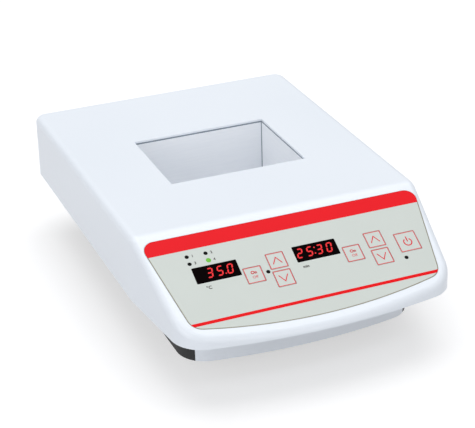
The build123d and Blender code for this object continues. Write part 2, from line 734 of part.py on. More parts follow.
def insulation_jacket():
    """Fibre board round the well's walls."""
    inner = (WELL_LENGTH + 2 * LINER_WALL + PLAY, WELL_WIDTH + 2 * LINER_WALL + PLAY)
    outer = (inner[0] - PLAY + 2 * JACKET_THICKNESS, inner[1] - PLAY + 2 * JACKET_THICKNESS)
    low = TRAY_SEAT + TRAY_SHEET
    high = CASE_HEIGHT - CASE_WALL - PLAY
    ring = slab(Rectangle(*outer) - Rectangle(*inner), low, high)
    return Pos(0, WELL_Y, 0) * ring - lead_notch()


def insulation_slab():
    """Fibre board under the heater, with a well for the thermal cut-out."""
    face = Rectangle(WELL_LENGTH + 2 * LINER_WALL, WELL_WIDTH + 2 * LINER_WALL)
    board = slab(face, TRAY_SEAT + TRAY_SHEET, CLAMP_BOTTOM)
    board -= Pos(CUTOUT_X, 0, 0) * peg(CUTOUT_RADIUS + PLAY, TRAY_SEAT, CLAMP_BOTTOM)
    return Pos(0, WELL_Y, 0) * board - sensor_form(SEAT_GAP)


def thermal_cutout():
    """The bimetal cut-out, its face against the clamp plate."""
    body = peg(CUTOUT_RADIUS, TRAY_SEAT + TRAY_SHEET + PLAY, CLAMP_BOTTOM)
    return Pos(CUTOUT_X, WELL_Y, 0) * body


def temperature_sensor():
    """A rod sensor lying against the clamp plate's underside."""
    return sensor_form(0)


def sensor_form(clearance):
    rod = Cylinder(SENSOR_RADIUS + clearance, SENSOR_LENGTH + 2 * clearance)
    return Pos(SENSOR_X, WELL_Y, CLAMP_BOTTOM - SENSOR_RADIUS) * Rot(0, 90, 0) * rod


def lead_notch():
    """The way that the heater's leads take out through the jacket and the tray."""
    side_on = (Align.CENTER, Align.MIN, Align.MIN)
    notch = Box(LEAD_NOTCH_WIDTH, 2 * WELL_SURROUND, LEAD_NOTCH_HEIGHT, align=side_on)
    return Pos(0, WELL_Y + WELL_WIDTH / 2, CLAMP_BOTTOM) * notch


def heater_tray():
    """The folded steel tray that carries the well, with ears screwed to the tub."""
    length = WELL_LENGTH + 2 * WELL_SURROUND
    width = WELL_WIDTH + 2 * WELL_SURROUND
    inside = Rectangle(length - 2 * TRAY_SHEET, width - 2 * TRAY_SHEET)
    tray = slab(Rectangle(length, width), TRAY_SEAT, TRAY_SEAT + TRAY_HEIGHT)
    tray -= slab(inside, TRAY_SEAT + TRAY_SHEET, CUT)
    for x, y in tray_ear_places():
        ear = slab(Rectangle(TRAY_EAR + 2 * TRAY_SHEET, TRAY_EAR), TRAY_SEAT, TRAY_SEAT + TRAY_SHEET)
        tray += Pos(x, y - WELL_Y, 0) * ear
        tray -= Pos(x, y - WELL_Y, 0) * peg(SMALL_SCREW_RADIUS + SCREW_PLAY, 0, CUT / 4)
    return Pos(0, WELL_Y, 0) * tray - lead_notch()


def tray_screws():
    seat = TRAY_SEAT + TRAY_SHEET
    return group(
        Pos(x, y, 0) * pan_screw(SMALL_SCREW_RADIUS, seat, seat - SMALL_SCREW_GRIP)
        for x, y in tray_ear_places()
    )


def power_board():
    """The mains board on its posts in the rear of the tub."""
    face = RectangleRounded(POWER_BOARD_LENGTH, POWER_BOARD_WIDTH, BOARD_CORNER)
    board = Pos(POWER_BOARD_X, POWER_BOARD_Y, 0) * slab(face, POWER_BOARD_Z, POWER_TOP)
    for x, y in power_board_posts():
        board -= Pos(x, y, 0) * peg(SMALL_SCREW_RADIUS + SCREW_PLAY, 0, CUT / 4)
    return board


def power_board_screws():
    return group(
        Pos(x, y, 0) * pan_screw(SMALL_SCREW_RADIUS, POWER_TOP, POWER_TOP - SMALL_SCREW_GRIP)
        for x, y in power_board_posts()
    )


def on_power_board(shape, across):
    return Pos(POWER_BOARD_X + across, POWER_BOARD_Y, POWER_TOP) * shape


def transformer_core():
    """The laminated core, with windows on both sides of its middle limb."""
    core = Box(CORE_LENGTH, CORE_DEPTH, CORE_HEIGHT, align=UPWARD)
    window = Box(WINDOW_LENGTH, 2 * CORE_DEPTH, WINDOW_HEIGHT)
    for side in (-1, 1):
        core -= Pos(side * WINDOW_ASIDE, 0, CORE_HEIGHT / 2) * window
    return on_power_board(core, TRANSFORMER_ASIDE)


def transformer_coil():
    """The winding round the core's middle limb."""
    span = 2 * WINDOW_ASIDE + WINDOW_LENGTH - 2 * PLAY
    limb = 2 * WINDOW_ASIDE - WINDOW_LENGTH + PLAY
    coil = Box(span, COIL_DEPTH, WINDOW_HEIGHT - 2 * PLAY)
    coil -= Box(limb, CORE_DEPTH + PLAY, CORE_HEIGHT)
    return on_power_board(Pos(0, 0, CORE_HEIGHT / 2) * coil, TRANSFORMER_ASIDE)


def heatsink():
    """The switching device's finned heatsink."""
    sink = Box(HEATSINK_LENGTH, HEATSINK_BASE, HEATSINK_HEIGHT, align=UPWARD)
    side_on = (Align.CENTER, Align.MIN, Align.MIN)
    fin = Box(FIN_THICKNESS, FIN_REACH, HEATSINK_HEIGHT, align=side_on)
    first = (FIN_THICKNESS - HEATSINK_LENGTH) / 2
    pitch = (HEATSINK_LENGTH - FIN_THICKNESS) / (HEATSINK_FINS - 1)
    for i in range(HEATSINK_FINS):
        sink += Pos(first + i * pitch, 0, 0) * fin
    return on_power_board(sink, HEATSINK_ASIDE)


def triac():
    """The switching device, its tab flat on the heatsink."""
    back_down = (Align.CENTER, Align.MAX, Align.MIN)
    body = Box(TRIAC_WIDTH, TRIAC_DEPTH, TRIAC_HEIGHT, align=back_down)
    legs = Pos(0, -TRIAC_DEPTH / 2, 0) * Box(LEG_SPAN, LEG_THICKNESS, LEG_LENGTH, align=UPWARD)
    device = Pos(0, 0, LEG_LENGTH) * body + legs
    return on_power_board(Pos(0, -HEATSINK_BASE / 2, 0) * device, HEATSINK_ASIDE)


def terminal_block():
    """A five-way terminal block for the mains and heater leads."""
    block = Box(TERMINALS_WIDTH, TERMINALS_LENGTH, TERMINALS_HEIGHT, align=UPWARD)
    for i in range(5):
        well = peg(LEAD_RADIUS + SEAT_GAP, TERMINALS_HEIGHT / 2, TERMINALS_HEIGHT)
        block -= Pos(0, (i - 2) * TERMINAL_PITCH, 0) * well
    return on_power_board(block, TERMINALS_ASIDE)


def mains_inlet():
    """The appliance inlet: a flange in the rear pocket and a socket body behind it."""
    flange = slab(inlet_flange_face(), 0, INLET_FLANGE_THICKNESS)
    body = slab(inlet_body_face(), -INLET_BODY_DEPTH, 0)
    inlet = flange + body
    cavity = Rectangle(INLET_CAVITY_LENGTH, INLET_CAVITY_HEIGHT)
    upper = cavity.vertices().group_by(Axis.Y)[-1]
    cavity = chamfer(upper, INLET_CAVITY_CHAMFER)
    low = INLET_FLANGE_THICKNESS - INLET_CAVITY_DEPTH
    inlet -= slab(cavity, low, INLET_CAVITY_DEPTH)
    for place in inlet_holes():
        inlet -= place * peg(SMALL_SCREW_RADIUS + SCREW_PLAY, -PLAY, INLET_CAVITY_DEPTH)
    for x, y in pin_places():
        inlet -= Pos(x, y, 0) * slab(Rectangle(PIN_THICKNESS, PIN_WIDTH), -CUT / 4, 0)
    return at_inlet(inlet)


def pin_places():
    """The two current pins side by side, and the earth pin between them and higher."""
    return [(-PIN_ASIDE, -PIN_DROP), (0, PIN_RISE), (PIN_ASIDE, -PIN_DROP)]


def inlet_pins():
    """Three flat pins, through to their tabs behind the inlet."""
    tip = INLET_FLANGE_THICKNESS - PIN_RECESS
    pins = []
    for x, y in pin_places():
        blade = Rectangle(PIN_THICKNESS - SCREW_PLAY, PIN_WIDTH - SCREW_PLAY)
        pin = slab(blade, -INLET_BODY_DEPTH - TAB_LENGTH, tip)
        pins.append(at_inlet(Pos(x, y, 0) * pin))
    return group(pins)


def inlet_screws():
    seat = INLET_FLANGE_THICKNESS
    tip = -REAR_POCKET_DEPTH
    screw = pan_screw(SMALL_SCREW_RADIUS, seat, tip)
    return group(at_inlet(place * screw) for place in inlet_holes())


def probe_socket():
    """The socket for an external probe: a threaded bush with a plain bore."""
    body = peg(PROBE_BODY_RADIUS, -PROBE_BODY_DEPTH + PLAY, REAR_POCKET_DEPTH - PLAY)
    body += peg(PROBE_BODY_RADIUS + PROBE_SHOULDER, -PROBE_BODY_DEPTH + PLAY, -CASE_WALL)
    body -= peg(PROBE_BORE_RADIUS, -PROBE_BODY_DEPTH + 2 * PROBE_NUT_THICKNESS, CUT / 4)
    return at_probe(body)


def probe_nut():
    """The hexagon nut that holds the probe socket in its pocket."""
    face = RegularPolygon(PROBE_NUT_ACROSS / 2, 6, major_radius=False)
    nut = slab(face, 0, PROBE_NUT_THICKNESS)
    return at_probe(nut - peg(PROBE_BODY_RADIUS + SCREW_PLAY, -PLAY, CUT / 4))


def lead(points, bend):
    """A round wire along straight runs joined by arcs."""
    path = FilletPolyline(*points, radius=bend)
    section = Plane(origin=points[0], z_dir=path % 0) * Circle(LEAD_RADIUS)
    return sweep(section, path)


def terminal_place(number):
    """The mouth of one of the five terminals."""
    return Vector(
        POWER_BOARD_X + TERMINALS_ASIDE,
        POWER_BOARD_Y + (number - 2) * TERMINAL_PITCH,
        POWER_TOP + TERMINALS_HEIGHT,
    )


def mains_leads():
    """Three wires from the inlet's tabs down into the terminal block."""
    tab_y = CASE_LENGTH / 2 - REAR_POCKET_DEPTH - INLET_BODY_DEPTH - TAB_LENGTH
    leads = []
    for number, (x, z) in zip((2, 1, 0), pin_places()):
        start = Vector(INLET_X - x, tab_y, REAR_ROW_Z + z)
        end = terminal_place(number)
        low = Vector(end.X, end.Y, end.Z - TERMINALS_HEIGHT / 2 + SEAT_GAP)
        high = Vector(end.X, end.Y, start.Z)
        clear = start - Vector(0, LEAD_SPACING, 0)
        leads.append(lead([start, clear, high, low], LEAD_SPACING / 2))
    return group(leads)


def heater_leads():
    """Two wires from the heater's edge, out through the notch to the terminal block."""
    mat_edge = WELL_Y + WELL_WIDTH / 2 - MAT_MARGIN
    z = LINER_BOTTOM - LEAD_RADIUS - SEAT_GAP
    block_x = POWER_BOARD_X + TERMINALS_ASIDE
    block_front = POWER_BOARD_Y - TERMINALS_LENGTH / 2
    turn = (TRAY_BACK + block_front) / 2
    leads = []
    for side in (-1, 1):
        x = side * LEAD_SPACING / 2
        out_x = block_x + x
        clear_y = turn - side * LEAD_SPACING / 2
        points = [(x, mat_edge, z), (x, clear_y, z), (out_x, clear_y, z), (out_x, block_front, z)]
        leads.append(lead(points, LEAD_SPACING / 2))
    return group(leads)


def panel_ribbon():
    """The flat ribbon beside the well, from the control board back to the power board."""
    under = BOARD_DEPTH + BOARD_THICKNESS + HEADER_DEPTH
    head = PANEL.from_local_coords(Vector(RIBBON_X, -KEY_ROW, -under))
    plug_top = POWER_TOP + HEADER_DEPTH
    level = POWER_TOP + RIBBON_RISE
    below = head - PANEL.z_dir * HEADER_DEPTH
    route = FilletPolyline(
        head,
        below,
        (RIBBON_X, below.Y + 3 * HEADER_DEPTH, level),
        (RIBBON_X, POWER_BOARD_Y, level),
        (RIBBON_X, POWER_BOARD_Y, plug_top),
        radius=HEADER_DEPTH / 2,
    )
    section = Plane(origin=head, x_dir=(1, 0, 0), z_dir=route % 0)
    return sweep(section * Rectangle(RIBBON_WIDTH, RIBBON_THICKNESS), route)


def ribbon_socket():
    """The ribbon's connector on the power board."""
    socket = Box(RIBBON_WIDTH + PLAY, HEADER_DEPTH, HEADER_DEPTH, align=UPWARD)
    return Pos(RIBBON_X, POWER_BOARD_Y, POWER_TOP) * socket


def main():
    nodes = {
        "upper_shell": upper_shell(),
        "front_apron": apron_form(0),
        "base_tub": base_tub(),
        "rubber_feet": group(Pos(x, y, 0) * rubber_foot() for x, y in FOOT_PLACES),
        "foot_screws": group(
            Pos(x, y, 0)
            * pan_screw(CASE_SCREW_RADIUS, FOOT_HEIGHT / 2, TUB_FLOOR_TOP + FOOT_BOSS_RISE - PLAY)
            for x, y in FOOT_PLACES
        ),
        "case_screws": group(
            Pos(x, y, 0)
            * pan_screw(CASE_SCREW_RADIUS, FLANGE_Z, FLANGE_Z + TUB_FLANGE + CASE_SCREW_GRIP - PLAY)
            for x, y in CASE_SCREW_PLACES
        ),
        "panel_overlay": panel_overlay(),
        "panel_carrier": panel_carrier(),
        "indicator_lamps": group(indicator(*place) for place in DARK_LEDS),
        "set_point_lamp": indicator(*SET_LED),
        "key_switches": key_switches(),
        "control_board": control_board(),
        "control_board_screws": control_board_screws(),
        "control_chips": control_chips(),
        "ribbon_header": ribbon_header(),
        "well_liner": well_liner(),
        "heater_mat": heater_mat(),
        "clamp_plate": clamp_plate(),
        "insulation_jacket": insulation_jacket(),
        "insulation_slab": insulation_slab(),
        "thermal_cutout": thermal_cutout(),
        "temperature_sensor": temperature_sensor(),
        "heater_tray": heater_tray(),
        "tray_screws": tray_screws(),
        "power_board": power_board(),
        "power_board_screws": power_board_screws(),
        "transformer_core": transformer_core(),
        "transformer_coil": transformer_coil(),
        "heatsink": heatsink(),
        "triac": triac(),
        "terminal_block": terminal_block(),
        "mains_inlet": mains_inlet(),
        "inlet_pins": inlet_pins(),
        "inlet_screws": inlet_screws(),
        "probe_socket": probe_socket(),
        "probe_nut": probe_nut(),
        "mains_leads": mains_leads(),
        "heater_leads": heater_leads(),
        "panel_ribbon": panel_ribbon(),
        "ribbon_socket": ribbon_socket(),
    }
    for name, place in KEYS.items():
        nodes[name] = key(*place)
    for name, place in DISPLAYS.items():
        nodes[name + "_lens"] = display_lens(*place)
        nodes[name + "_module"] = display_module(*place)

    os.makedirs("parts", exist_ok=True)
    for name, shape in nodes.items():
        export_step(shape, f"parts/{name}.step")


main()
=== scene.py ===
# %% [markdown]
# A dry bath incubator: a white wedge-shaped casing with an aluminium heating well in its
# flat top, and a printed keypad with two numeric displays on its sloping front.
# The construction comes in as a fixed frame. This script dresses it: paint, film, lenses,
# metal, and the thin printed shapes that the frame doesn't carry.

import json
import math

import bmesh
import bpy
from mathutils import Matrix, Vector


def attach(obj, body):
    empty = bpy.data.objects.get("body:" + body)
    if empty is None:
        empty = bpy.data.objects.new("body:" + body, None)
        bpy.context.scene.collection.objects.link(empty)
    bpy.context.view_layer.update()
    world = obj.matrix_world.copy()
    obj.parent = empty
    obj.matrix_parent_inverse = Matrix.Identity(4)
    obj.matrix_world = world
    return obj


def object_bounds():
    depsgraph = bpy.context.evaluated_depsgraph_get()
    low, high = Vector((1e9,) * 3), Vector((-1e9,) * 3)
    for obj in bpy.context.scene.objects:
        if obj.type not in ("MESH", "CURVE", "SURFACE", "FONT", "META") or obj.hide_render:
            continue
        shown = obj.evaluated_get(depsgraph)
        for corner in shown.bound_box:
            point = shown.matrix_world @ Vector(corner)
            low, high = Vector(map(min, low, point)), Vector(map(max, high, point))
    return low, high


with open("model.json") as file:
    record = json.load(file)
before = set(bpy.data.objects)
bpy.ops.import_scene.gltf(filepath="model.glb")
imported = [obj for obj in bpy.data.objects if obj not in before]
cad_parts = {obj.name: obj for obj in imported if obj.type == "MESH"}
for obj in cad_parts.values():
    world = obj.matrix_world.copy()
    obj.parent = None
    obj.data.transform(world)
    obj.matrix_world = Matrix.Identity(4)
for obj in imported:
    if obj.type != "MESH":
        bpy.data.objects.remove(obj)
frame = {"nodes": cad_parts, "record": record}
cad_low, cad_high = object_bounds()
MM = 0.001
print("nodes", len(frame["nodes"]), "size in mm", [round(v / MM, 1) for v in cad_high - cad_low])

# %% [markdown]
# The control panel is a plane that slopes down from the crease at the front of the flat top.
# Everything printed on it is easiest to draw flat, in panel coordinates: across, down the
# slope, and out of it. One matrix then lays the flat drawing on the slope.

# %% The panel's own plane
PANEL_RUN = 81 * MM
PANEL_ANGLE = math.radians(28)
crease = Vector((0, cad_low.y + PANEL_RUN, cad_high.z))
PANEL = Matrix.Translation(crease) @ Matrix.Rotation(PANEL_ANGLE, 4, "X")
print("crease in mm", [round(v / MM, 1) for v in crease])

# %% [markdown]
# The camera looks down on the front left corner with a long lens, so the sides stay nearly
# parallel. Its place and its angles were solved from the straight edges in the picture, and
# they are written here as a place, a heading, a dip and a small roll.

# %% Camera
CAMERA_PLACE = Vector((-358.9, -913.6, 537.8)) * MM
HEADING = 0.3751
DIP = 0.4591
ROLL = -0.0283
FOCAL_PIXELS = 1564.6
IMAGE_WIDTH = 475
SENSOR_WIDTH = 36
NEAREST = 0.05
FARTHEST = 20


def add_camera():
    """The photograph's viewpoint."""
    data = bpy.data.cameras.new("camera")
    camera = bpy.data.objects.new("camera", data)
    bpy.context.scene.collection.objects.link(camera)
    ahead = Vector((
        math.sin(HEADING) * math.cos(DIP),
        math.cos(HEADING) * math.cos(DIP),
        -math.sin(DIP),
    ))
    right = Vector((math.cos(HEADING), -math.sin(HEADING), 0))
    up = right.cross(ahead)
    turned = math.cos(ROLL) * right + math.sin(ROLL) * up
    upright = turned.cross(ahead)
    pose = Matrix((turned, upright, -ahead)).transposed().to_4x4()
    camera.matrix_world = Matrix.Translation(CAMERA_PLACE) @ pose
    data.sensor_width = SENSOR_WIDTH
    data.lens = FOCAL_PIXELS * data.sensor_width / IMAGE_WIDTH
    data.clip_start = NEAREST
    data.clip_end = FARTHEST
    bpy.context.scene.camera = camera
    return camera


print("lens in mm", round(add_camera().data.lens, 1))

# %% [markdown]
# Shaders are written as expressions. A Socket wraps one output of a node, and the usual
# operators on it add the Math nodes. A Tree holds the nodes of a material or of the world,
# and its node method takes a node's type, its settings and what goes into its sockets. A
# Finish is a Tree for one material, with the few patterns that the finishes here share.

# %% Shader helpers
# A Mix node numbers its sockets: the factor is 0, then come those of each kind of value.
MIX_COLOURS = (6, 7)
MIX_RESULT = 2


class Socket:
    """One value in a material, with arithmetic."""

    def __init__(self, tree, output):
        self.tree = tree
        self.output = output

    def math(self, operation, *others):
        inputs = dict(enumerate([self, *others]))
        return self.tree.node("ShaderNodeMath", {"operation": operation}, inputs)

    def __add__(self, other):
        return self.math("ADD", other)

    def __radd__(self, other):
        return self.math("ADD", other)

    def __sub__(self, other):
        return self.math("SUBTRACT", other)

    def __rsub__(self, other):
        return (self * -1).math("ADD", other)

    def __mul__(self, other):
        return self.math("MULTIPLY", other)

    def __rmul__(self, other):
        return self.math("MULTIPLY", other)


class Tree:
    """The node tree of a material or of the world, emptied and ready to fill."""

    def __init__(self, owner):
        owner.use_nodes = True
        self.nodes = owner.node_tree.nodes
        self.links = owner.node_tree.links
        self.nodes.clear()

    def node(self, kind, settings=None, inputs=None, out=0):
        """Adds a node: settings first, then its sockets' values or links."""
        made = self.nodes.new(kind)
        for key, value in (settings or {}).items():
            setattr(made, key, value)
        for key, value in (inputs or {}).items():
            if isinstance(value, Socket):
                self.links.new(value.output, made.inputs[key])
            else:
                made.inputs[key].default_value = value
        return Socket(self, made.outputs[out]) if made.outputs else None


class Finish(Tree):
    """A material built from nodes around one Principled shader."""

    def __init__(self, name):
        self.material = bpy.data.materials.new(name)
        super().__init__(self.material)

    def place(self, scale=(1, 1, 1)):
        """The object's own coordinates in metres, stretched for grain."""
        spot = self.node("ShaderNodeTexCoord", out="Object")
        return self.node("ShaderNodeMapping", {}, {"Vector": spot, "Scale": scale})

    def noise(self, scale, detail=2.0, stretch=(1, 1, 1)):
        """Smooth noise from 0 to 1, with the number of its lumps to the metre."""
        inputs = {"Vector": self.place(stretch), "Scale": scale, "Detail": detail}
        return self.node("ShaderNodeTexNoise", {}, inputs)

    def blend(self, factor, first, second):
        """A colour between two."""
        ends = [end if isinstance(end, Socket) else (*end, 1) for end in (first, second)]
        inputs = {0: factor, MIX_COLOURS[0]: ends[0], MIX_COLOURS[1]: ends[1]}
        return self.node("ShaderNodeMix", {"data_type": "RGBA"}, inputs, MIX_RESULT)

    def bump(self, height, strength, distance):
        inputs = {"Height": height, "Strength": strength, "Distance": distance}
        return self.node("ShaderNodeBump", {}, inputs)

    def surface(self, **inputs):
        """The Principled shader and the output; socket names use _ for a space."""
        named = {key.replace("_", " "): value for key, value in inputs.items()}
        shader = self.node("ShaderNodeBsdfPrincipled", {}, named)
        self.node("ShaderNodeOutputMaterial", {}, {"Surface": shader})
        return self.material


def linear(red, green, blue):
    """A colour read off a screen, 0 to 255, as the renderer's linear light."""
    def channel(value):
        part = value / 255
        return part / 12.92 if part <= 0.04045 else ((part + 0.055) / 1.055) ** 2.4
    return (channel(red), channel(green), channel(blue))


def shaded(colour, share):
    """A darker colour of the same hue."""
    return tuple(share * part for part in colour)


print("helpers ready; mid grey is", [round(v, 3) for v in linear(128, 128, 128)])

# %% [markdown]
# A studio for a white product: a large soft lamp overhead and two low, weaker ones, from
# the left and from the front. The floor is a mid grey that glows, only to the camera and in
# reflections, so that the ground reads as white paper and the object's own shadow on it
# stays faint.

# %% Stage and lamps
FLOOR_GREY = (0.55, 0.55, 0.56)
FLOOR_GLOW = 0.56
FLOOR_HALF = 6
WORLD_WHITE = (0.96, 0.98, 1.0)
WORLD_STRENGTH = 0.45
LAMPS = {
    "overhead": {"place": (0.1, 0.35, 1.5), "target": (0, 0, 0), "size": 1.6, "watts": 16},
    "front_left": {"place": (-1.4, -0.8, 0.5), "target": (0, 0, 0.05), "size": 1.0, "watts": 7},
    "front_low": {"place": (0.25, -1.5, 0.22), "target": (0, 0, 0.04), "size": 0.9, "watts": 5.5},
}


def paper_material():
    finish = Finish("studio_paper")
    rays = finish.node("ShaderNodeLightPath", out="Is Camera Ray")
    glossy = finish.node("ShaderNodeLightPath", out="Is Glossy Ray")
    through = finish.node("ShaderNodeLightPath", out="Is Transmission Ray")
    seen = (rays + glossy + through).math("MINIMUM", 1.0)
    return finish.surface(
        Base_Color=(*FLOOR_GREY, 1),
        Roughness=0.9,
        Specular_IOR_Level=0.0,
        Emission_Color=finish.blend(seen, (0, 0, 0), (1, 1, 1)),
        Emission_Strength=FLOOR_GLOW,
    )


def add_floor():
    mesh = bmesh.new()
    bmesh.ops.create_grid(mesh, x_segments=2, y_segments=2, size=FLOOR_HALF)
    data = bpy.data.meshes.new("floor")
    mesh.to_mesh(data)
    mesh.free()
    floor = bpy.data.objects.new("floor", data)
    bpy.context.scene.collection.objects.link(floor)
    floor.data.materials.append(paper_material())


def add_lamp(name, place, target, size, watts):
    data = bpy.data.lights.new(name, "AREA")
    data.shape = "SQUARE"
    data.size = size
    data.energy = watts
    lamp = bpy.data.objects.new(name, data)
    bpy.context.scene.collection.objects.link(lamp)
    lamp.location = place
    lamp.rotation_euler = (Vector(target) - Vector(place)).to_track_quat("-Z", "Y").to_euler()


def light_world():
    world = bpy.data.worlds.new("studio")
    bpy.context.scene.world = world
    tree = Tree(world)
    seen = tree.node("ShaderNodeLightPath", out="Is Camera Ray")
    room_light = {"Color": (*WORLD_WHITE, 1), "Strength": WORLD_STRENGTH}
    room = tree.node("ShaderNodeBackground", {}, room_light)
    paper = tree.node("ShaderNodeBackground", {}, {"Color": (1, 1, 1, 1)})
    mixed = tree.node("ShaderNodeMixShader", {}, {0: seen, 1: room, 2: paper})
    tree.node("ShaderNodeOutputWorld", {}, {"Surface": mixed})


add_floor()
for name, lamp in LAMPS.items():
    add_lamp(name, **lamp)
light_world()
bpy.context.scene.view_settings.view_transform = "Standard"
print("lamps", len(bpy.data.lights))

# %% [markdown]
# Paint on a sprayed casting is smooth but never a mirror: it has a faint orange peel about
# a millimetre across, and its gloss drifts slowly over the surface.

# %% Casing paint
CASING_WHITE = linear(238, 243, 250)
CASING_WARM = linear(233, 239, 247)


def casing_paint():
    finish = Finish("casing_paint")
    drift = finish.noise(9.0, detail=1.0)
    peel = finish.noise(1100.0, detail=2.0)
    return finish.surface(
        Base_Color=finish.blend(drift, CASING_WARM, CASING_WHITE),
        Roughness=0.34 + 0.08 * drift,
        Normal=finish.bump(peel, 0.12, 0.15 * MM),
        Coat_Weight=0.15,
        Coat_Roughness=0.25,
    )


CASING_PAINT = casing_paint()
print("made", CASING_PAINT.name)

# %% [markdown]
# The overlay is a hard-coated film: satin, with a very fine grain that breaks up the
# reflection. The same film carries the printed colours and the painted edge shadow, so one
# function makes them all.

# %% Printed film


def film(name, colour, shade=0.94, roughness=0.42, sheen=0.25):
    finish = Finish(name)
    grain = finish.noise(2600.0, detail=2.0)
    cloud = finish.noise(30.0, detail=2.0)
    return finish.surface(
        Base_Color=finish.blend(cloud, shaded(colour, shade), colour),
        Roughness=roughness + 0.1 * grain,
        Specular_IOR_Level=sheen,
        Normal=finish.bump(grain, 0.08, 0.05 * MM),
    )


FILM_GREY = film("film_grey", linear(208, 214, 209), shade=0.97)
INK_RED = film("ink_red", linear(238, 22, 34), sheen=0.1)
INK_STRIPE = film("ink_stripe", linear(238, 8, 20), sheen=0.1)
EDGE_SHADOW_PAINT = film("painted_edge_shadow", linear(150, 142, 120))
# A brownish grey ring at the overlay's edge: painted shadow of the edge, in the film's finish.
INK_KEY_LINE = film("ink_key_line", linear(226, 84, 88))
INK_MARK = film("ink_mark", linear(224, 40, 52), sheen=0.1)
INK_LEGEND = film("ink_legend", linear(72, 68, 62))
print("made the film and its inks")

# %% [markdown]
# The lenses are dark tinted acrylic over the numerals: almost black, very smooth, with a
# trace of red. The lit segments are flat and bright, and bleed no light.

# %% Lens, numerals and lamps
UNLIT = ((0.02, 0.02, 0.02), (0.03, 0.03, 0.03))
GLOW_DIM = 0.86


def lens_material():
    finish = Finish("tinted_lens")
    haze = finish.noise(220.0)
    return finish.surface(
        Base_Color=finish.blend(haze, linear(4, 1, 2), linear(8, 2, 3)),
        Roughness=0.3 + 0.08 * haze,
        Specular_IOR_Level=0.01,
    )


def glow_material(name, colour, strength):
    finish = Finish(name)
    spread = finish.noise(900.0)
    tint = finish.blend(spread, shaded(colour, GLOW_DIM), colour)
    return finish.surface(
        Base_Color=finish.blend(spread, *UNLIT),
        Roughness=0.35,
        Specular_IOR_Level=0.05,
        Emission_Color=tint,
        Emission_Strength=strength,
    )


LENS = lens_material()
SEGMENT_RED = glow_material("segment_red", linear(255, 36, 42), 1.0)
LAMP_GREEN = glow_material("lamp_green", linear(115, 200, 62), 1.0)
print("made the lens and the lit materials")

# %% [markdown]
# The well is bare aluminium with a pale matt face. Fine stretched noise on its walls gives
# the drag of a tool, and a finer bump the blasting. Round its top edge, just under the casing,
# a narrow slate grey band is painted shade for the gap under the casing's lip, and a fine dark
# line runs down each corner where its walls meet. Both are masks on the object's own
# coordinates, mixed into the one material.

# %% Metals and mouldings
CASING_LIP = 1.4 * MM
# The slate band painted from this level up is painted shade for the gap under the casing's lip.
GAP_SHADE_DEPTH = 1.1 * MM
GAP_SHADE_LEVEL = cad_high.z - CASING_LIP - GAP_SHADE_DEPTH
GAP_SHADE_AND_CORNER_SLATE = linear(134, 146, 157)
WELL_MIDDLE = 31.1 * MM
WELL_HALF_ACROSS = 49.5 * MM
WELL_HALF_ALONG = 39.0 * MM
CORNER_LINE_WIDTH = 0.45 * MM


def aluminium():
    finish = Finish("well_aluminium")
    blast = finish.noise(900.0, detail=3.0)
    drag = finish.noise(60.0, detail=3.0, stretch=(1, 1, 14))
    spot = finish.node("ShaderNodeTexCoord", out="Object")
    across, along, height = (
        finish.node("ShaderNodeSeparateXYZ", {}, {"Vector": spot}, out=axis) for axis in "XYZ"
    )
    beside = across.math("ABSOLUTE").math("GREATER_THAN", WELL_HALF_ACROSS - CORNER_LINE_WIDTH)
    ahead = (along - WELL_MIDDLE).math("ABSOLUTE")
    corner_line = beside * ahead.math("GREATER_THAN", WELL_HALF_ALONG - CORNER_LINE_WIDTH)
    # Painted shade: the slate band under the casing's lip, joined to the dark lines down the
    # corners.
    gap_shade_and_corners = height.math("GREATER_THAN", GAP_SHADE_LEVEL).math("MAXIMUM", corner_line)
    wall = finish.blend(drag, linear(240, 243, 248), linear(250, 252, 255))
    return finish.surface(
        Base_Color=finish.blend(gap_shade_and_corners, wall, GAP_SHADE_AND_CORNER_SLATE),
        Metallic=0.1,
        Roughness=0.4 + 0.12 * drag,
        Normal=finish.bump(blast, 0.15, 0.1 * MM),
    )


def plated(name, colour, roughness=0.3):
    finish = Finish(name)
    scuff = finish.noise(400.0, detail=4.0)
    return finish.surface(
        Base_Color=finish.blend(scuff, shaded(colour, 0.8), colour),
        Metallic=1.0,
        Roughness=roughness + 0.15 * scuff,
    )


def moulding(name, colour, roughness=0.55, grain=700.0, sheen=0.5):
    finish = Finish(name)
    spark = finish.noise(grain, detail=3.0)
    return finish.surface(
        Base_Color=finish.blend(spark, shaded(colour, 0.85), colour),
        Roughness=roughness + 0.12 * spark,
        Specular_IOR_Level=sheen,
        Normal=finish.bump(spark, 0.25, 0.12 * MM),
    )


def boards():
    finish = Finish("board_green")
    tracks = finish.noise(500.0, detail=0.0, stretch=(1, 0.2, 1))
    return finish.surface(
        Base_Color=finish.blend(tracks, linear(16, 70, 36), linear(30, 96, 52)),
        Roughness=0.3 + 0.1 * tracks,
    )


METALS = {
    "screw_steel": plated("screw_steel", linear(190, 192, 196)),
    "sheet_steel": plated("sheet_steel", linear(176, 180, 184), 0.38),
    "core_iron": plated("core_iron", linear(96, 96, 100), 0.5),
    "winding_copper": plated("winding_copper", linear(196, 116, 66), 0.3),
    "pin_brass": plated("pin_brass", linear(206, 196, 160), 0.25),
    "socket_metal": plated("socket_metal", linear(204, 205, 208), 0.2),
}
MOULDINGS = {
    "black_moulding": moulding("black_moulding", linear(26, 26, 28)),
    "foot_rubber": moulding("foot_rubber", linear(30, 30, 31), 0.7, 420.0),
    "silicone": moulding("silicone", linear(206, 92, 40), 0.6),
    "fibre_board": moulding("fibre_board", linear(232, 226, 208), 0.85, 260.0),
    "terminal_green": moulding("terminal_green", linear(70, 140, 84), 0.4),
    "lead_sheath": moulding("lead_sheath", linear(160, 56, 44), 0.4),
    "ribbon_grey": moulding("ribbon_grey", linear(150, 150, 154), 0.45),
    "lamp_dark": moulding("lamp_dark", linear(14, 14, 15), 0.3, 900.0, 0.05),
}
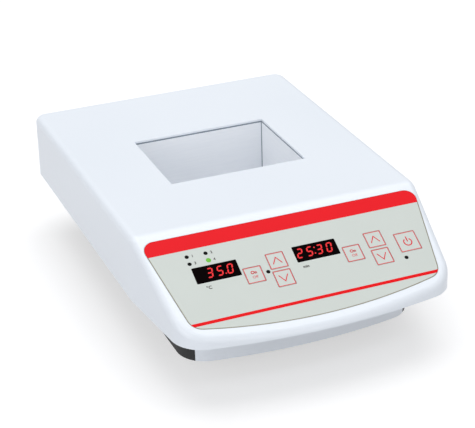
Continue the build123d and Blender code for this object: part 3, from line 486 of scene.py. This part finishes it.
print("made", len(METALS) + len(MOULDINGS), "more finishes")

# %% [markdown]
# Each node of the frame names the material slot that its maker gave it, so the finishes go
# on by slot, one look-up for the whole object.

# %% Dress the frame
BY_SLOT = {
    "casing_white": CASING_PAINT,
    "overlay_film": FILM_GREY,
    "dark_lens": LENS,
    "lamp_green": LAMP_GREEN,
    "board_green": boards(),
    "well_aluminium": aluminium(),
    **METALS,
    **MOULDINGS,
}


def dress():
    for part in frame["record"]["subparts"]:
        node = frame["nodes"][part["node"]]
        node.data.materials.clear()
        node.data.materials.append(BY_SLOT[part["material_slot"]])


dress()
print("dressed", len(frame["nodes"]), "nodes")

# %% [markdown]
# Printed shapes are thin prisms that stand a few hundredths of a millimetre off the film.
# A flat outline is filled, pushed up by its thickness, laid on the slope and handed to the
# body that it rides on.

# %% Helpers for printed shapes
INK_LIFT = 0.02 * MM
INK_THICKNESS = 0.05 * MM
WELD = 0.0001 * MM
TYPE_WELD = 0.001 * MM


def finish_piece(mesh, name, material, body):
    """Turns a flat drawing into an object on the panel that rides on a body."""
    bmesh.ops.remove_doubles(mesh, verts=mesh.verts, dist=WELD)
    bmesh.ops.recalc_face_normals(mesh, faces=mesh.faces)
    bmesh.ops.transform(mesh, matrix=PANEL, verts=mesh.verts)
    data = bpy.data.meshes.new(name)
    mesh.to_mesh(data)
    mesh.free()
    piece = bpy.data.objects.new(name, data)
    bpy.context.scene.collection.objects.link(piece)
    data.materials.append(material)
    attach(piece, body)
    return piece


def outline_verts(mesh, points):
    """A vertex for each place on the panel."""
    return [mesh.verts.new((x * MM, -down * MM, INK_LIFT)) for x, down in points]


def fill_outline(mesh, points):
    """One flat face through points given as across and down the slope, in millimetres."""
    return mesh.faces.new(outline_verts(mesh, points))


def thicken(mesh, thickness=INK_THICKNESS):
    """Pushes every flat face up into a closed prism."""
    flat = list(mesh.faces)
    made = bmesh.ops.extrude_face_region(mesh, geom=flat)
    top = [part for part in made["geom"] if isinstance(part, bmesh.types.BMVert)]
    bmesh.ops.translate(mesh, verts=top, vec=(0, 0, thickness))
    bmesh.ops.reverse_faces(mesh, faces=flat)


def ring(mesh, outer, inner):
    """A flat band between two outlines with the same number of points."""
    outside = outline_verts(mesh, outer)
    inside = outline_verts(mesh, inner)
    count = len(outside)
    for i in range(count):
        j = (i + 1) % count
        mesh.faces.new((outside[i], outside[j], inside[j], inside[i]))


def corner_arc(centre, radius, start, turn, steps=8):
    """Points round a corner, angles in degrees."""
    points = []
    for step in range(steps + 1):
        angle = math.radians(start + turn * step / steps)
        points.append((
            centre[0] + radius * math.cos(angle),
            centre[1] + radius * math.sin(angle),
        ))
    return points


print("ink is", round(INK_THICKNESS / MM, 2), "mm thick")

# %% [markdown]
# The overlay's outline is worked out once, from the same sizes as the frame's: straight
# tapering sides, rounded corners and a bowed lower edge. Inset copies of it, cut along
# lines across the slope, give the red band, the stripe and a thin dark ring at the edge
# that is painted shadow along the overlay's edge.

# %% The overlay's outline
PANEL_TOP = 5.4
PANEL_TOP_HALF = 97.2
PANEL_LOW_CORNER = 74.4
PANEL_LOW_HALF = 85.4
PANEL_TIP = 84.2
TOP_RADIUS = 7.5
LOW_RADIUS = 10.0
BOW = PANEL_TIP - PANEL_LOW_CORNER
SWEEP = (PANEL_LOW_HALF ** 2 + BOW ** 2) / (2 * BOW)
SWEEP_CENTRE = PANEL_TIP - SWEEP
SWEEP_STEPS = 12
SIDE_LEAN = math.atan((PANEL_TOP_HALF - PANEL_LOW_HALF) / (PANEL_LOW_CORNER - PANEL_TOP))


def panel_points(inset):
    """The outline as across and down pairs, moved in from the panel's edge."""
    reach = TOP_RADIUS * (1 + math.sin(SIDE_LEAN)) / math.cos(SIDE_LEAN)
    top_centre = (PANEL_TOP_HALF - reach, PANEL_TOP + TOP_RADIUS)
    start = math.degrees(SIDE_LEAN)
    right = corner_arc(top_centre, TOP_RADIUS - inset, -90, 90 + start)
    low_centre = find_low_centre()
    end = math.degrees(math.atan2(low_centre[1] - SWEEP_CENTRE, low_centre[0]))
    right += corner_arc(low_centre, LOW_RADIUS - inset, start, end - start)
    bowed = corner_arc((0, SWEEP_CENTRE), SWEEP - inset, end, 90 - end, SWEEP_STEPS)
    right += bowed[1:-1]
    left = [(-x, down) for x, down in reversed(right)]
    return right + [(0, PANEL_TIP - inset)] + left


def find_low_centre():
    """The lower corner's centre: inside the side line and inside the bowed edge."""
    out = (math.cos(SIDE_LEAN), math.sin(SIDE_LEAN))
    along = (-out[1], out[0])
    x = PANEL_LOW_HALF - LOW_RADIUS * out[0]
    y = PANEL_LOW_CORNER - LOW_RADIUS * out[1] - SWEEP_CENTRE
    half = x * along[0] + y * along[1]
    spare = x * x + y * y - (SWEEP - LOW_RADIUS) ** 2
    slide = math.sqrt(half * half - spare) - half
    return (x + slide * along[0], y + SWEEP_CENTRE + slide * along[1])


print("outline points", len(panel_points(0.4)))

# %% [markdown]
# The band and the stripe are the same sheet, cut twice with bisect_plane. The cut keeps the
# outline's curved ends without any extra work.

# %% Red band, stripe and painted edge shadow
BAND = (5.4, 16.9)
STRIPE = (70.8, 73.0)
STRIP_INSET = 0.3
EDGE_INSET = 0.25
EDGE_LINE = 0.45
EDGE_SHARE = 0.6


def cut_strip(name, material, top, low):
    mesh = bmesh.new()
    fill_outline(mesh, panel_points(STRIP_INSET))
    for place, outward in ((top, 1), (low, -1)):
        geom = mesh.verts[:] + mesh.edges[:] + mesh.faces[:]
        bmesh.ops.bisect_plane(
            mesh,
            geom=geom,
            plane_co=(0, -place * MM, 0),
            plane_no=(0, outward, 0),
            clear_outer=True,
        )
    thicken(mesh)
    return finish_piece(mesh, name, material, "housing")


# The dark ring round the overlay is painted shadow along its edge.
def edge_line():
    mesh = bmesh.new()
    ring(mesh, panel_points(EDGE_INSET), panel_points(EDGE_INSET + EDGE_LINE))
    thicken(mesh, EDGE_SHARE * INK_THICKNESS)
    return finish_piece(mesh, "overlay_edge_painted_shadow", EDGE_SHADOW_PAINT, "housing")


cut_strip("red_band", INK_RED, *BAND)
cut_strip("red_stripe", INK_STRIPE, *STRIPE)
edge_line()
print("band is", round(BAND[1] - BAND[0], 1), "mm deep")

# %% [markdown]
# Each key has a thin printed square at its edge and a mark in its middle. Both ride on the
# key's own body, so that a pressed key takes its print down with it.

# %% Key prints
KEY_ROW = 45.3
KEY_SIZE = 12.0
POWER_KEY_SIZE = 14.8
ARROW_SPACING = 13.8
TEMP_ARROWS = -15.5
TIME_ARROWS = 53.6
ON_OFF_ASIDE = 17.9
POWER_KEY = 74.7
KEY_LINE = 0.55
KEY_MARGIN = 0.06
CHEVRON_HALF = 3.1
CHEVRON_RISE = 2.45
MARK_STROKE = 0.6
SHARPEST_MITRE = 0.3
POWER_RING = 2.7
POWER_RING_DROP = 0.4
POWER_RING_START = -55
POWER_RING_TURN = 290
POWER_RING_STEPS = 28
POWER_BAR = (-3.9, 0.1)
POWER_STROKE = 0.75
POINTS_UP = {"up": 1, "down": -1}
PRESS_KEYS = {}
for group, middle in (("temp", TEMP_ARROWS), ("time", TIME_ARROWS)):
    PRESS_KEYS[f"{group}_on_off_key"] = (middle - ON_OFF_ASIDE, KEY_ROW, KEY_SIZE)
    for way, up in POINTS_UP.items():
        place = KEY_ROW - up * ARROW_SPACING / 2
        PRESS_KEYS[f"{group}_{way}_key"] = (middle, place, KEY_SIZE)
PRESS_KEYS["power_key"] = (POWER_KEY, KEY_ROW, POWER_KEY_SIZE)


def square(centre, half):
    x, down = centre
    return [(x - half, down - half), (x + half, down - half),
            (x + half, down + half), (x - half, down + half)]


def key_outline(key, centre, size):
    mesh = bmesh.new()
    outer = size / 2 - KEY_MARGIN
    ring(mesh, square(centre, outer), square(centre, outer - KEY_LINE))
    thicken(mesh)
    finish_piece(mesh, key + "_outline", INK_KEY_LINE, key)


def stroke(mesh, points, width):
    """A flat line of even width through points, with mitred bends and square ends."""
    left, right = [], []
    for i, (x, down) in enumerate(points):
        before = Vector(points[max(i - 1, 0)])
        after = Vector(points[min(i + 1, len(points) - 1)])
        here = Vector((x, down))
        first = (here - before).normalized() if i > 0 else (after - here).normalized()
        second = (after - here).normalized() if i < len(points) - 1 else first
        along = (first + second).normalized()
        across = Vector((-along.y, along.x)) * (width / 2 / max(along.dot(first), SHARPEST_MITRE))
        left.append(here + across)
        right.append(here - across)
    for i in range(len(points) - 1):
        fill_outline(mesh, [left[i], left[i + 1], right[i + 1], right[i]])


def chevron(key, centre, up):
    x, down = centre
    mesh = bmesh.new()
    foot = down + up * CHEVRON_RISE
    tip = down - up * CHEVRON_RISE
    stroke(mesh, [(x - CHEVRON_HALF, foot), (x, tip), (x + CHEVRON_HALF, foot)], MARK_STROKE)
    thicken(mesh)
    finish_piece(mesh, key + "_chevron", INK_MARK, key)


def power_mark(key, centre):
    x, down = centre
    mesh = bmesh.new()
    centre = (x, down + POWER_RING_DROP)
    turn = corner_arc(centre, POWER_RING, POWER_RING_START, POWER_RING_TURN, POWER_RING_STEPS)
    stroke(mesh, turn, POWER_STROKE)
    stroke(mesh, [(x, down + end) for end in POWER_BAR], POWER_STROKE)
    thicken(mesh)
    finish_piece(mesh, key + "_mark", INK_MARK, key)


for key, (across, down, size) in PRESS_KEYS.items():
    key_outline(key, (across, down), size)
    way = key.split("_")[1]
    if way in POINTS_UP:
        chevron(key, (across, down), POINTS_UP[way])
power_mark("power_key", PRESS_KEYS["power_key"][:2])
print("printed", len(PRESS_KEYS), "keys")

# %% [markdown]
# Words are set as text, turned into a mesh, and laid on the slope like every other print.
# The height given is that of a capital letter.

# %% Words
CAPITAL = 0.70
LAMP_NUMBER_PLACES = [(-66.9, 22.1), (-54.2, 22.1), (-66.9, 27.7), (-54.0, 27.7)]
LEGENDS = {
    "unit_degrees": ("\u00b0C", (-64.6, 47.6), 2.3, 0.07),
    "unit_minutes": ("min", (1.5, 47.4), 2.0, 0.07),
}
for number, place in enumerate(LAMP_NUMBER_PLACES, 1):
    LEGENDS[f"lamp_number_{number}"] = (str(number), place, 1.9, 0.06)


def word(name, text, centre, height, material, body="housing", weight=0.0):
    curve = bpy.data.curves.new(name + "_type", "FONT")
    curve.body = text
    curve.align_x = "CENTER"
    curve.align_y = "CENTER"
    curve.size = height * MM / CAPITAL
    curve.offset = weight * MM
    curve.resolution_u = 4
    source = bpy.data.objects.new(name + "_type", curve)
    bpy.context.scene.collection.objects.link(source)
    bpy.context.view_layer.update()
    shape = bpy.data.meshes.new_from_object(source)
    bpy.data.objects.remove(source)
    mesh = bmesh.new()
    mesh.from_mesh(shape)
    bpy.data.meshes.remove(shape)
    x, down = centre
    bmesh.ops.translate(mesh, verts=mesh.verts, vec=(x * MM, -down * MM, INK_LIFT))
    bmesh.ops.remove_doubles(mesh, verts=mesh.verts, dist=TYPE_WELD)
    thicken(mesh)
    return finish_piece(mesh, name, material, body)


for key in ("temp_on_off_key", "time_on_off_key"):
    across, down, _ = PRESS_KEYS[key]
    word(key + "_on", "On", (across + 0.2, down - 1.7), 2.2, INK_MARK, key, 0.1)
    word(key + "_off", "Off", (across + 0.1, down + 1.8), 2.0, INK_KEY_LINE, key)
for name, (text, place, height, weight) in LEGENDS.items():
    word(name, text, place, height, INK_LEGEND, weight=weight)
print("words set")

# %% [markdown]
# The numerals are made of seven segments each, leaning a little to the right. Only the lit
# segments are there to see behind the dark lens, so only those are made.

# %% Numerals
DIGIT_HEIGHT = 7.5
DIGIT_WIDTH = 4.1
SEGMENT = 0.95
SEGMENT_GAP = 0.12
LEAN = math.tan(math.radians(11))
NUMERAL_ROW = 37.0
DOT_RADIUS = 0.5
DOT_CORNERS = 12
LIT = {
    "0": "abcdef",
    "2": "abged",
    "3": "abgcd",
    "5": "afgcd",
}


def segment_ends():
    """The two ends of each segment's middle line, about the digit's centre."""
    x = DIGIT_WIDTH / 2 - SEGMENT / 2
    y = DIGIT_HEIGHT / 2 - SEGMENT / 2
    return {
        "a": ((-x, -y), (x, -y)),
        "b": ((x, -y), (x, 0)),
        "c": ((x, 0), (x, y)),
        "d": ((-x, y), (x, y)),
        "e": ((-x, 0), (-x, y)),
        "f": ((-x, -y), (-x, 0)),
        "g": ((-x, 0), (x, 0)),
    }


def segment_outline(start, end):
    """A bar pointed at both ends, so that neighbours meet at a slant."""
    start, end = Vector(start), Vector(end)
    along = (end - start).normalized()
    across = Vector((-along.y, along.x)) * SEGMENT / 2
    first = start + along * SEGMENT_GAP
    last = end - along * SEGMENT_GAP
    inward = along * SEGMENT / 2
    return [first, first + inward + across, last - inward + across,
            last, last - inward - across, first + inward - across]


def numeral(mesh, figure, centre):
    for letter in LIT[figure]:
        outline = segment_outline(*segment_ends()[letter])
        fill_outline(mesh, [
            (centre + point.x - LEAN * point.y, NUMERAL_ROW + point.y) for point in outline
        ])


def dot(mesh, centre):
    last = 360 - 360 / DOT_CORNERS
    fill_outline(mesh, corner_arc(centre, DOT_RADIUS, 0, last, DOT_CORNERS - 1))


def display(name, figures, dots):
    mesh = bmesh.new()
    for figure, centre in figures:
        numeral(mesh, figure, centre)
    for centre in dots:
        dot(mesh, centre)
    thicken(mesh)
    finish_piece(mesh, name, SEGMENT_RED, "housing")


display("temp_figures", [("3", -60.4), ("5", -53.6), ("0", -46.8)], [(-50.4, 39.8)])
display(
    "time_figures",
    [("2", 1.2), ("5", 8.1), ("3", 15.0), ("0", 21.8)],
    [(12.0, 34.8), (11.3, 39.2)],
)
print("numerals lit")
